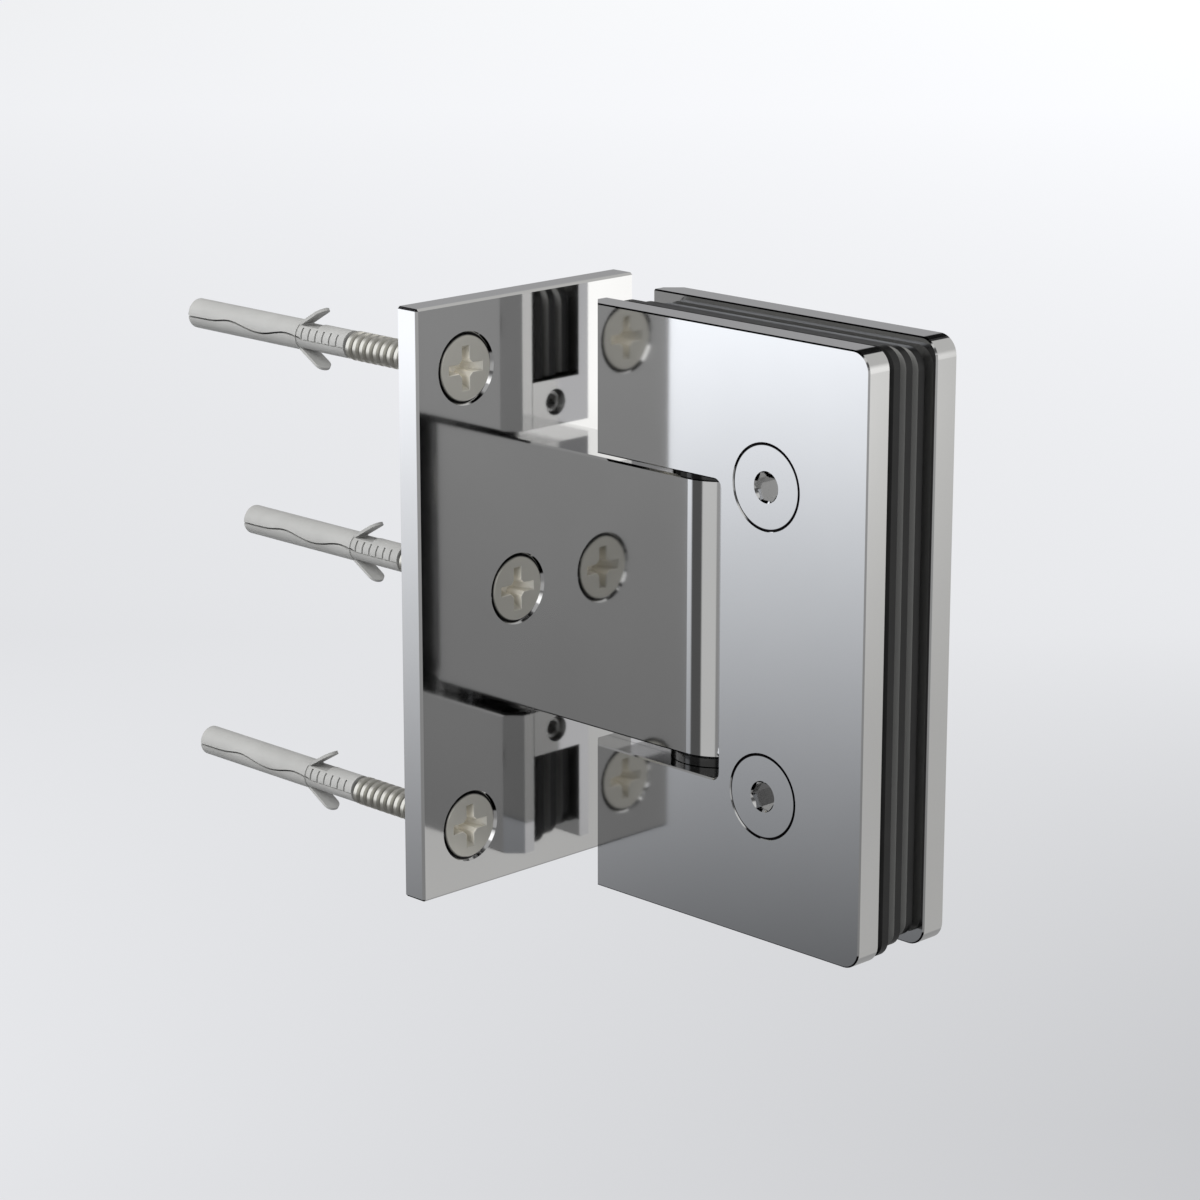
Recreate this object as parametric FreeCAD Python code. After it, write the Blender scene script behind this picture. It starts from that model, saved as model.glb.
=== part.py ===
import FreeCAD, Part
import math
import os

from FreeCAD import Vector

# Glass-to-wall hinge, in millimetres.
# The origin is the centre of the wall plate's back face.
# +X points away from the wall, +Y runs along it and +Z is up.

# Wall plate
plate_height = 90.0
plate_width = 44.2
plate_thick = 4.0
plate_edge = 0.35

# Wall screws, two in a column beside the arm's free side and one by the arm
wall_screw_inset = 9.6
wall_screw_end_inset = 9.9
middle_screw_inset = 19.7
wall_screw_length = 50.0
wall_screw_thread = 4.3
wall_screw_core = 2.9
wall_screw_point = 4.0
wall_screw_head = 9.9
wall_screw_rim = 0.5
wall_screw_sink = 11.0
wall_screw_play = 0.4

# Cross recess of the wall screws and the arm screws
cross_length = 6.6
cross_width = 1.4
cross_depth = 3.2
cross_foot = 3.4

# Wall plugs
plug_length = 37.6
plug_standoff = 21.0
plug_diameter = 4.66
plug_collar_diameter = 4.3
plug_round = 0.9
plug_bore_play = 0.05
plug_end_wall = 1.2
plug_slit = 0.28
seam_height = -0.15
seam_width = 0.16
seam_depth = 0.25
rib_count = 6
rib_first = 1.5
rib_pitch = 1.6
rib_groove = 0.32
rib_groove_depth = 0.28
rib_band = 1.5
fin_length = 5.6
fin_width = 2.66
fin_thick = 0.45
fin_angle = 30.0
fin_set_back = 10.9
fin_root_depth = 0.72
fin_window = 4.3
fin_flat_height = 1.7

# The plug's wavy slit, as distance behind the plug's mouth and height, from the ribs to past the tip
slit_path = (
    (9.9, seam_height),
    (12.6, 0.3),
    (13.3, 0.33),
    (17.0, -0.25),
    (19.6, -0.58),
    (21.8, -0.42),
    (26.4, 0.33),
    (27.3, 0.33),
    (30.0, -0.02),
    (33.0, -0.17),
    (38.6, -0.2),
)

# Arm that carries the pin, screwed to the wall plate from behind
arm_thick = 13.6
arm_height = 42.3
arm_reach = 26.6
arm_inset = 8.7
arm_drop = 1.05
arm_edge = 0.3
arm_screw_spacing = 31.0
arm_screw_length = 15.0
arm_screw_thread = 5.0
arm_screw_head = 9.4
arm_screw_rim = 0.2
arm_screw_sink = 10.0
arm_screw_play = 0.25
tapped_hole_spare = 1.5

# Pivot
pin_diameter = 8.0
pin_end_gap = 0.15
pin_end_chamfer = 0.5
pin_lug_play = 0.02
bush_play = 0.04
bush_wall = 1.0
bush_length = 8.0
pin_room = 0.35
washer_thick = 1.25
washer_diameter = 14.0
washer_bore_play = 0.3
axial_play = 0.1

# Detent: two sprung plungers that drop onto flats of the pin
flat_depth = 0.5
plunger_diameter = 6.0
plunger_length = 11.0
plunger_nose = 1.0
plunger_play = 0.05
plunger_gap = 0.05
plunger_spacing = 13.0
spring_wire_width = 1.1
spring_wire_depth = 0.8
spring_turns = 3.5
spring_side_play = 0.15
spring_end_gap = 0.05

# Glass clamp: a body with the pivot lugs and a loose cover
leaf_height = 90.0
leaf_length = 55.3
leaf_thick = 4.4
leaf_corner = 3.0
leaf_bevel = 2.4
leaf_edge = 0.22
wall_gap = 8.1
glass_gap = 9.85
swing_gap = 2.1
cutout_corner = 1.2
lug_height = 7.15
lug_relief = 0.1

# Clamp screws, in bosses that stand inside the glass gap
clamp_screw_spacing = 46.0
clamp_screw_inset = 19.0
clamp_screw_thread = 6.0
clamp_screw_length = 16.0
clamp_screw_head = 12.4
clamp_screw_rim = 0.26
clamp_screw_sink = 13.0
clamp_screw_play = 0.3
clamp_socket = 4.0
clamp_socket_depth = 2.6
boss_diameter = 10.0
boss_relief = 1.0
blind_hole_spare = 0.6

# Set screws that lock the pin in the lugs
set_screw_thread = 4.0
set_screw_length = 14.0
set_screw_play = 0.05
set_screw_chamfer = 0.4
set_screw_socket = 2.0
set_screw_socket_depth = 2.2
set_screw_flat_height = 4.8

# Gasket sheets between the two leaves
gasket_thick = 3.25
gasket_space = 0.04
gasket_inset = 0.2
gasket_step = 0.6
gasket_corner = 3.0
gasket_bevel = 0.95
gasket_lug_gap = 0.5
gasket_boss_gap = 0.15
gasket_names = ("gasket_near", "gasket_middle", "gasket_far")

# A gap this small is left where a screw seats or a tip presses
seat_gap = 0.02

# How far a socket's bevelled mouth stands outside its corners, all round
socket_mouth_play = 0.04

# Share of the thread's size that bevels the end of a machine screw
screw_tip_share = 0.25

# Places that follow from the sizes above
plate_front = plate_thick
pin_x = plate_front + arm_reach
pin_y = plate_width / 2 - arm_inset
middle_z = -arm_drop
arm_radius = arm_thick / 2
pin_radius = pin_diameter / 2
arm_top = arm_height / 2
cutout_half = arm_top + washer_thick + axial_play
lug_top = cutout_half + lug_height
clamp_start = plate_front + wall_gap
clamp_end = clamp_start + leaf_length
cutout_end = pin_x + arm_radius + swing_gap
clamp_screw_x = clamp_end - clamp_screw_inset
gap_near = pin_y - glass_gap / 2
gap_far = pin_y + glass_gap / 2
clamp_near = gap_near - leaf_thick
clamp_far = gap_far + leaf_thick
wall_screw_y = wall_screw_inset - plate_width / 2
middle_screw_y = middle_screw_inset - plate_width / 2
wall_screw_places = {
    "upper": (wall_screw_y, plate_height / 2 - wall_screw_end_inset),
    "middle": (middle_screw_y, 0.0),
    "lower": (wall_screw_y, wall_screw_end_inset - plate_height / 2),
}
sides = {"upper": 1, "lower": -1}

X = Vector(1, 0, 0)
Y = Vector(0, 1, 0)
Z = Vector(0, 0, 1)


def block(low, high):
    """Return a box between two corners."""
    size = high - low
    return Part.makeBox(size.x, size.y, size.z, low)


def turned(profile, start, axis):
    """Return a solid turned about an axis from (distance along it, radius) points."""
    points = [Vector(radius, 0, along) for along, radius in profile]
    wire = Part.makePolygon(points + [points[0]])
    solid = Part.Face(wire).revolve(Vector(), Z, 360)
    solid.Placement = FreeCAD.Placement(start, FreeCAD.Rotation(Z, axis))
    return solid


def rod(radius, length, start, axis):
    """Return a cylinder."""
    return Part.makeCylinder(radius, length, start, axis)


def prism(points, offset):
    """Return the solid swept by a closed outline along an offset."""
    wire = Part.makePolygon(list(points) + [points[0]])
    return Part.Face(wire).extrude(offset)


def countersink(sink, hole, face, inward):
    """Return the cutter for a 90 degree countersink with its mouth at a point on a face."""
    depth = (sink - hole) / 2
    over = 1.0
    outline = [(-over, 0), (-over, sink / 2 + over), (depth, hole / 2), (depth, 0)]
    return turned(outline, face, inward)


def countersunk_screw(head, rim, sink, thread, length, face, inward):
    """Return a countersunk screw seated in its countersink, and the place of its head's face."""
    top = (sink - head) / 2 - rim - seat_gap
    cone = (head - thread) / 2
    bevel = thread * screw_tip_share
    outline = [
        (0, 0),
        (0, head / 2),
        (rim, head / 2),
        (rim + cone, thread / 2),
        (length - bevel, thread / 2),
        (length, thread / 2 - bevel),
        (length, 0),
    ]
    start = face + inward * top
    return turned(outline, start, inward), start


def cross_recess(start, inward):
    """Return the cutter for a cross recess that narrows with depth."""
    half_top = cross_length / 2
    half_foot = cross_foot / 2
    outline = [
        Vector(-half_top, -cross_width / 2, 0),
        Vector(half_top, -cross_width / 2, 0),
        Vector(half_foot, -cross_width / 2, cross_depth),
        Vector(-half_foot, -cross_width / 2, cross_depth),
    ]
    wing = prism(outline, Y * cross_width)
    other = wing.copy()
    other.rotate(Vector(), Z, 90)
    cutter = wing.fuse(other)
    cutter.Placement = FreeCAD.Placement(start, FreeCAD.Rotation(Z, inward))
    return cutter


def hex_socket(across, depth, start, inward):
    """Return the cutter for a hexagon socket with a bevelled mouth."""
    radius = across / math.sqrt(3)
    angles = [math.radians(60 * step) for step in range(6)]
    corners = [Vector(radius * math.cos(a), radius * math.sin(a), 0) for a in angles]
    mouth = radius + socket_mouth_play
    bevel = mouth - across / 2
    cone = turned([(0, 0), (0, mouth), (bevel, across / 2), (bevel, 0)], Vector(), Z)
    cutter = prism(corners, Z * depth).fuse(cone)
    cutter.Placement = FreeCAD.Placement(start, FreeCAD.Rotation(Z, inward))
    return cutter


def edges_in_plane(shape, axis, height, keep=None):
    """Return the edges that lie in a plane across an axis, kept by a test of their middle."""
    found = []
    for edge in shape.Edges:
        box = edge.BoundBox
        spans = {"x": (box.XMin, box.XMax), "y": (box.YMin, box.YMax), "z": (box.ZMin, box.ZMax)}
        low, high = spans[axis]
        if abs(low - height) > 1e-4 or abs(high - height) > 1e-4:
            continue
        if keep is None or keep(box.Center):
            found.append(edge)
    return found


def is_along(edge, axis):
    """Tell whether a straight edge runs along an axis."""
    box = edge.BoundBox
    lengths = {"x": box.XLength, "y": box.YLength, "z": box.ZLength}
    return lengths.pop(axis) > 1e-3 and max(lengths.values()) < 1e-3


def make_wall_plate():
    """Return the wall plate with its screw holes and the seats for the arm screws."""
    low = Vector(0, -plate_width / 2, -plate_height / 2)
    high = Vector(plate_thick, plate_width / 2, plate_height / 2)
    plate = block(low, high)
    rims = edges_in_plane(plate, "x", plate_front) + [edge for edge in plate.Edges if is_along(edge, "x")]
    plate = plate.makeChamfer(plate_edge, rims)
    hole = wall_screw_thread + 2 * wall_screw_play
    cutters = []
    for y, z in wall_screw_places.values():
        cutters.append(rod(hole / 2, plate_thick, Vector(0, y, z), X))
        cutters.append(countersink(wall_screw_sink, hole, Vector(plate_front, y, z), -X))
    hole = arm_screw_thread + 2 * arm_screw_play
    for z in arm_screw_heights():
        cutters.append(rod(hole / 2, plate_thick, Vector(0, pin_y, z), X))
        cutters.append(countersink(arm_screw_sink, hole, Vector(0, pin_y, z), X))
    return plate.cut(cutters)


def arm_screw_heights():
    """Return the heights of the two arm screws."""
    return [middle_z + sign * arm_screw_spacing / 2 for sign in sides.values()]


def plunger_height(sign):
    """Return the height of a plunger's axis."""
    return middle_z + sign * plunger_spacing / 2


def plunger_nose_x():
    """Return the plungers' nose at rest, where they ride on the round of the pin."""
    return pin_x - pin_radius - plunger_gap


def make_hinge_arm():
    """Return the arm: a block with a round end, the pin bore, two plunger bores and tapped holes."""
    low = Vector(plate_front, pin_y - arm_radius, middle_z - arm_top)
    high = Vector(pin_x, pin_y + arm_radius, middle_z + arm_top)
    barrel = rod(arm_radius, arm_height, Vector(pin_x, pin_y, low.z), Z)
    arm = block(low, high).fuse(barrel).removeSplitter()
    for height in (low.z, high.z):
        rims = edges_in_plane(arm, "z", height, lambda middle: middle.x > plate_front + 1e-3)
        arm = arm.makeChamfer(arm_edge, rims)
    seat = pin_radius + bush_play + bush_wall
    cutters = [rod(pin_radius + pin_room, arm_height, Vector(pin_x, pin_y, low.z), Z)]
    cutters.append(rod(seat, bush_length, Vector(pin_x, pin_y, low.z), Z))
    cutters.append(rod(seat, bush_length, Vector(pin_x, pin_y, high.z - bush_length), Z))
    bore = plunger_diameter / 2 + plunger_play
    for sign in sides.values():
        cutters.append(rod(bore, arm_reach, Vector(plate_front, pin_y, plunger_height(sign)), X))
    depth = arm_screw_length - plate_thick + tapped_hole_spare
    for z in arm_screw_heights():
        cutters.append(rod(arm_screw_thread / 2, depth, Vector(plate_front, pin_y, z), X))
    return arm.cut(cutters)


def make_arm_screw(z):
    """Return one countersunk screw that holds the arm from behind the plate."""
    face = Vector(0, pin_y, z)
    screw, top = countersunk_screw(
        arm_screw_head, arm_screw_rim, arm_screw_sink, arm_screw_thread, arm_screw_length, face, X
    )
    return screw.cut(cross_recess(top, X))


def make_pin():
    """Return the pivot pin: round at its ends, square in the arm and flat under the set screws."""
    half = lug_top - pin_end_gap
    outline = [
        (-half, 0),
        (-half, pin_radius - pin_end_chamfer),
        (-half + pin_end_chamfer, pin_radius),
        (half - pin_end_chamfer, pin_radius),
        (half, pin_radius - pin_end_chamfer),
        (half, 0),
    ]
    pin = turned(outline, Vector(), Z)
    flat = pin_radius - flat_depth
    reach = arm_top - bush_length
    cutters = []
    for turn in range(4):
        side = block(Vector(flat, -pin_radius, -reach), Vector(pin_radius, pin_radius, reach))
        side.rotate(Vector(), Z, 90 * turn)
        cutters.append(side)
    for sign in sides.values():
        z = sign * (cutout_half + lug_height / 2)
        low = Vector(-pin_radius, -pin_radius, z - set_screw_flat_height / 2)
        high = Vector(-flat, pin_radius, z + set_screw_flat_height / 2)
        cutters.append(block(low, high))
    pin = pin.cut(cutters)
    pin.translate(Vector(pin_x, pin_y, middle_z))
    return pin


def make_bush(sign):
    """Return one plain bush, flush with the arm's end."""
    start = middle_z + (arm_top - bush_length if sign > 0 else -arm_top)
    inner = pin_radius + bush_play
    base = Vector(pin_x, pin_y, start)
    return rod(inner + bush_wall, bush_length, base, Z).cut(rod(inner, bush_length, base, Z))


def make_washer(sign):
    """Return one thrust washer that lies on the arm's end."""
    start = middle_z + (arm_top if sign > 0 else -arm_top - washer_thick)
    base = Vector(pin_x, pin_y, start)
    bore = rod(pin_radius + washer_bore_play, washer_thick, base, Z)
    return rod(washer_diameter / 2, washer_thick, base, Z).cut(bore)


def make_plunger(sign):
    """Return one detent plunger with a bevelled nose."""
    radius = plunger_diameter / 2
    outline = [
        (0, 0),
        (0, radius - plunger_nose),
        (plunger_nose, radius),
        (plunger_length, radius),
        (plunger_length, 0),
    ]
    return turned(outline, Vector(plunger_nose_x(), pin_y, plunger_height(sign)), -X)


def make_spring(sign):
    """Return one spring of flat wire between the wall plate and its plunger."""
    start = plate_front + spring_end_gap
    end = plunger_nose_x() - plunger_length - spring_end_gap
    outer = plunger_diameter / 2 + plunger_play - spring_side_play
    middle = outer - spring_wire_depth / 2
    rise = end - start - spring_wire_width
    helix = Part.makeHelix(rise / spring_turns, rise, middle)
    half_width = spring_wire_width / 2
    corners = [
        Vector(middle - spring_wire_depth / 2, 0, -half_width),
        Vector(middle + spring_wire_depth / 2, 0, -half_width),
        Vector(middle + spring_wire_depth / 2, 0, half_width),
        Vector(middle - spring_wire_depth / 2, 0, half_width),
    ]
    section = Part.makePolygon(corners + [corners[0]])
    coil = Part.Wire(helix.Edges).makePipeShell([section], True, True)
    place = Vector(start + half_width, pin_y, plunger_height(sign))
    coil.Placement = FreeCAD.Placement(place, FreeCAD.Rotation(Z, X))
    return coil


def leaf_outline():
    """Return the outline of a clamp leaf in the XZ plane, with the cut-out for the arm."""
    top = middle_z + leaf_height / 2
    foot = middle_z - leaf_height / 2
    low = Vector(clamp_start, 0, foot)
    plain = block(low, Vector(clamp_end, 1, top))
    corners = [edge for edge in plain.Edges if is_along(edge, "y") and edge.BoundBox.XMin > clamp_end - 1e-3]
    plain = plain.makeFillet(leaf_corner, corners)
    window = block(
        Vector(clamp_start - 1, -1, middle_z - cutout_half),
        Vector(cutout_end, 2, middle_z + cutout_half),
    )
    inner = [edge for edge in window.Edges if is_along(edge, "y") and edge.BoundBox.XMin > cutout_end - 1e-3]
    window = window.makeFillet(cutout_corner, inner)
    return plain.cut(window)


def make_leaf(inner_face, outward):
    """Return a clamp leaf that grows from its inner face along Y, with bevelled and broken edges."""
    slab = leaf_outline()
    foot = min(slab.Faces, key=lambda face: face.CenterOfMass.y)
    leaf = foot.extrude(Y * (leaf_thick * outward))
    leaf.translate(Y * inner_face)
    outer_face = inner_face + leaf_thick * outward
    top = leaf_height
    corner = Vector(clamp_start, outer_face, middle_z - top)
    bevel = prism([corner, corner + X * leaf_bevel, corner - Y * (leaf_bevel * outward)], Z * (2 * top))
    leaf = leaf.cut(bevel)
    past_wall_end = clamp_start + leaf_bevel + 1e-3
    outer_edges = edges_in_plane(leaf, "y", outer_face, lambda middle: middle.x > past_wall_end)
    leaf = leaf.makeChamfer(leaf_edge, outer_edges)
    inner_edges = edges_in_plane(leaf, "y", inner_face, is_outside_lugs)
    return leaf.makeChamfer(leaf_edge, inner_edges)


def is_outside_lugs(middle):
    """Tell whether an inner edge belongs to the leaf's top, foot or free end."""
    beside_wall = middle.x < clamp_start + 1e-3
    return not beside_wall and (middle.x > cutout_end + 1 or abs(middle.z - middle_z) > lug_top)


def clamp_screw_heights():
    """Return the heights of the clamp screws."""
    return {name: middle_z + sign * clamp_screw_spacing / 2 for name, sign in sides.items()}


def make_clamp_body():
    """Return the clamp body: the far leaf with two pivot lugs and two screw bosses."""
    body = make_leaf(gap_far, 1)
    lug_near = gap_near + lug_relief
    pieces = []
    for sign in sides.values():
        ends = sorted((middle_z + sign * cutout_half, middle_z + sign * lug_top))
        low = Vector(clamp_start, lug_near, ends[0])
        pieces.append(block(low, Vector(cutout_end, gap_far, ends[1])))
    boss_height = glass_gap - boss_relief
    for z in clamp_screw_heights().values():
        start = Vector(clamp_screw_x, gap_far - boss_height, z)
        pieces.append(rod(boss_diameter / 2, boss_height, start, Y))
    body = body.fuse(pieces).removeSplitter()
    cutters = [rod(pin_radius + pin_lug_play, 2 * lug_top, Vector(pin_x, pin_y, middle_z - lug_top), Z)]
    for sign in sides.values():
        z = middle_z + sign * (cutout_half + lug_height / 2)
        radius = set_screw_thread / 2 + set_screw_play
        cutters.append(rod(radius, pin_x - clamp_start, Vector(clamp_start, pin_y, z), X))
    depth = clamp_screw_length + blind_hole_spare
    for z in clamp_screw_heights().values():
        start = Vector(clamp_screw_x, clamp_near, z)
        cutters.append(rod(clamp_screw_thread / 2 + seat_gap, depth, start, Y))
    return body.cut(cutters)


def make_clamp_cover():
    """Return the clamp cover: the near leaf with two countersunk holes."""
    cover = make_leaf(gap_near, -1)
    hole = clamp_screw_thread + 2 * clamp_screw_play
    cutters = []
    for z in clamp_screw_heights().values():
        face = Vector(clamp_screw_x, clamp_near, z)
        cutters.append(rod(hole / 2, leaf_thick, face, Y))
        cutters.append(countersink(clamp_screw_sink, hole, face, Y))
    return cover.cut(cutters)


def make_clamp_screw(z):
    """Return one clamp screw with a flat head and a hexagon socket."""
    face = Vector(clamp_screw_x, clamp_near, z)
    screw, top = countersunk_screw(
        clamp_screw_head, clamp_screw_rim, clamp_screw_sink, clamp_screw_thread, clamp_screw_length, face, Y
    )
    return screw.cut(hex_socket(clamp_socket, clamp_socket_depth, top, Y))


def make_set_screw(sign):
    """Return one set screw whose tip stands on the flat of the pin."""
    tip = pin_x - pin_radius + flat_depth - seat_gap
    z = middle_z + sign * (cutout_half + lug_height / 2)
    radius = set_screw_thread / 2
    outline = [
        (0, 0),
        (0, radius - set_screw_chamfer),
        (set_screw_chamfer, radius),
        (set_screw_length - set_screw_chamfer, radius),
        (set_screw_length, radius - set_screw_chamfer),
        (set_screw_length, 0),
    ]
    start = Vector(tip - set_screw_length, pin_y, z)
    screw = turned(outline, start, X)
    return screw.cut(hex_socket(set_screw_socket, set_screw_socket_depth, start, X))


def make_gasket(row):
    """Return one gasket sheet with bevelled rims, cut out round the lugs and the bosses."""
    pack = len(gasket_names) * gasket_thick + (len(gasket_names) - 1) * gasket_space
    near = pin_y - pack / 2 + row * (gasket_thick + gasket_space)
    far = near + gasket_thick
    inset = gasket_inset + row * gasket_step
    start = clamp_start + inset
    half = leaf_height / 2 - inset
    sheet = block(Vector(start, near, middle_z - half), Vector(clamp_end - inset, far, middle_z + half))
    sheet = sheet.makeFillet(gasket_corner, [edge for edge in sheet.Edges if is_along(edge, "y")])
    rims = edges_in_plane(sheet, "y", near) + edges_in_plane(sheet, "y", far)
    sheet = sheet.makeChamfer(gasket_bevel, rims)
    notch_half = lug_top + gasket_lug_gap
    notch_end = cutout_end + gasket_lug_gap
    low = Vector(start - 1, near - 1, middle_z - notch_half)
    high = Vector(notch_end, far + 1, middle_z + notch_half)
    cutters = [block(low, high)]
    hole = boss_diameter / 2 + gasket_boss_gap
    for z in clamp_screw_heights().values():
        cutters.append(rod(hole, gasket_thick, Vector(clamp_screw_x, near, z), Y))
    return sheet.cut(cutters)


def make_wall_screw(y, z):
    """Return one wall screw; the stretch in the plug has the thread's core size."""
    top = plate_front - ((wall_screw_sink - wall_screw_head) / 2 - wall_screw_rim - seat_gap)
    cone = (wall_screw_head - wall_screw_thread) / 2
    mouth = top + plug_standoff - plug_bore_play
    outline = [
        (0, 0),
        (0, wall_screw_head / 2),
        (wall_screw_rim, wall_screw_head / 2),
        (wall_screw_rim + cone, wall_screw_thread / 2),
        (mouth, wall_screw_thread / 2),
        (mouth, wall_screw_core / 2),
        (wall_screw_length - wall_screw_point, wall_screw_core / 2),
        (wall_screw_length, 0),
    ]
    start = Vector(top, y, z)
    return turned(outline, start, -X).cut(cross_recess(start, -X))


def make_slit_cutter():
    """Return the wavy blade that slits the plug from its tip to its ribs."""
    edges = []
    for shift in (-plug_slit / 2, plug_slit / 2):
        points = [
            Vector(-(plug_standoff + along), -plug_diameter, height + shift) for along, height in slit_path
        ]
        curve = Part.BSplineCurve()
        curve.interpolate(points)
        edges.append(curve.toShape())
    lower, upper = edges
    for side in (0, -1):
        edges.append(Part.makeLine(lower.Vertexes[side].Point, upper.Vertexes[side].Point))
    wire = Part.Wire(Part.__sortEdges__(edges))
    return Part.Face(wire).extrude(Y * (2 * plug_diameter))


def make_fin(sign):
    """Return one anti-turn fin: a thin tongue with a round end, bent out of the plug's wall."""
    straight = fin_length - fin_width / 2
    tongue = block(Vector(0, -fin_width / 2, 0), Vector(straight, fin_width / 2, fin_thick))
    tip = rod(fin_width / 2, fin_thick, Vector(straight, 0, 0), Z)
    tongue = tongue.fuse(tip).removeSplitter()
    tongue.rotate(Vector(), Y, -fin_angle)
    root = Vector(-(plug_standoff + fin_set_back), 0, plug_diameter / 2 - fin_root_depth)
    tongue.translate(root)
    if sign < 0:
        tongue.rotate(Vector(), X, 180)
    return tongue


def make_wall_plug(y, z):
    """Return one wall plug: a slit tube with a thinner collar, ribs, a seam and two anti-turn fins."""
    radius = plug_diameter / 2
    collar = plug_collar_diameter / 2
    bore = wall_screw_core / 2 + plug_bore_play
    outline = [
        (0, bore),
        (0, collar),
        (fin_set_back, collar),
        (fin_set_back, radius),
        (plug_length - plug_round, radius),
        (plug_length, radius - plug_round),
        (plug_length, 0),
        (plug_length - plug_end_wall, 0),
        (plug_length - plug_end_wall, bore),
    ]
    plug = turned(outline, Vector(-plug_standoff, 0, 0), -X)
    root = -(plug_standoff + fin_set_back)
    cutters = [make_slit_cutter()]
    low = Vector(root + fin_thick, -radius, fin_flat_height)
    side_cuts = [block(low, Vector(root + fin_window, radius, radius))]
    core = rod(collar - rib_groove_depth, plug_length, Vector(-plug_standoff, 0, 0), -X)
    for step in range(rib_count):
        along = -(plug_standoff + rib_first + rib_pitch * step)
        low = Vector(along - rib_groove, -radius, seam_height)
        side_cuts.append(block(low, Vector(along, 0, rib_band)).cut(core))
    low = Vector(-(plug_standoff + slit_path[0][0]), -radius, seam_height - seam_width)
    side_cuts.append(block(low, Vector(-plug_standoff, seam_depth - collar, seam_height)))
    for cut in side_cuts:
        cutters.append(cut)
        cutters.append(cut.copy().rotate(Vector(), X, 180))
    plug = plug.cut(cutters).fuse([make_fin(sign) for sign in sides.values()])
    plug.translate(Vector(0, y, z))
    return plug.removeSplitter()


def make_parts():
    """Return every piece under the name of its node."""
    parts = {
        "wall_plate": make_wall_plate(),
        "hinge_arm": make_hinge_arm(),
        "pivot_pin": make_pin(),
        "clamp_body": make_clamp_body(),
        "clamp_cover": make_clamp_cover(),
    }
    for name, sign in sides.items():
        parts["arm_screw_" + name] = make_arm_screw(middle_z + sign * arm_screw_spacing / 2)
        parts["pin_bush_" + name] = make_bush(sign)
        parts["thrust_washer_" + name] = make_washer(sign)
        parts["detent_plunger_" + name] = make_plunger(sign)
        parts["detent_spring_" + name] = make_spring(sign)
        parts["pin_set_screw_" + name] = make_set_screw(sign)
        parts["clamp_screw_" + name] = make_clamp_screw(clamp_screw_heights()[name])
    for name, (y, z) in wall_screw_places.items():
        parts["wall_screw_" + name] = make_wall_screw(y, z)
        parts["wall_plug_" + name] = make_wall_plug(y, z)
    for row, name in enumerate(gasket_names):
        parts[name] = make_gasket(row)
    return parts


def main():
    """Build every piece, report it and write its file."""
    os.makedirs("parts", exist_ok=True)
    for name, shape in make_parts().items():
        solids = shape.Solids
        solid = solids[0] if len(solids) == 1 else shape
        print(name, "solids", len(solids), "valid", solid.isValid(), "volume", round(solid.Volume, 1))
        solid.exportStep("parts/" + name + ".step")


main()
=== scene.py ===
import logging
import math
from dataclasses import dataclass, field, replace
from enum import Enum
from typing import Callable, Sequence

import bmesh
import bpy
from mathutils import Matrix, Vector


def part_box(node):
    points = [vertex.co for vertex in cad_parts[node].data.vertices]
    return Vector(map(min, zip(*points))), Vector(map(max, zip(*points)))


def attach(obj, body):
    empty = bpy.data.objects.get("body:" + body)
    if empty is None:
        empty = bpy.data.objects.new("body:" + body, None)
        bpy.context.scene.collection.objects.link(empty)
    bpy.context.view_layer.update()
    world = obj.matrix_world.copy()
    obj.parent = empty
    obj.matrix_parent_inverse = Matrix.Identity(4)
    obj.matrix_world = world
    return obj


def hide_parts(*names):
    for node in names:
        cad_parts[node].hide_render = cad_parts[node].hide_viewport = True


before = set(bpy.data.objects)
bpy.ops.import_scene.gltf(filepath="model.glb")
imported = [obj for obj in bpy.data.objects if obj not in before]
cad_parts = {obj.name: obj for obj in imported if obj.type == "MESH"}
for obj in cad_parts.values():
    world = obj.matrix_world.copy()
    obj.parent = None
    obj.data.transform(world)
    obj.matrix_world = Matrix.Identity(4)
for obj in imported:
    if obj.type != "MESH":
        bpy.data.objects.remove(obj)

logging.basicConfig(level=logging.INFO, format="%(message)s")
log = logging.getLogger("glass_hinge")

Colour = tuple[float, float, float]
MILLIMETRE = 0.001
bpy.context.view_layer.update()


def from_screen(red: float, green: float, blue: float) -> Colour:
    """Turn display levels from 0 to 255 into linear colour.

    Args:
        red: Display level of red.
        green: Display level of green.
        blue: Display level of blue.

    Returns:
        The linear colour.
    """
    return tuple(((level / 255 + 0.055) / 1.055) ** 2.4 for level in (red, green, blue))


class Side(Enum):
    """The two ends of the pivot, above and below its middle."""

    UPPER = "upper"
    LOWER = "lower"


class WallPlace(Enum):
    """The three screws that hold the plate to the wall."""

    UPPER = "upper"
    MIDDLE = "middle"
    LOWER = "lower"


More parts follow.
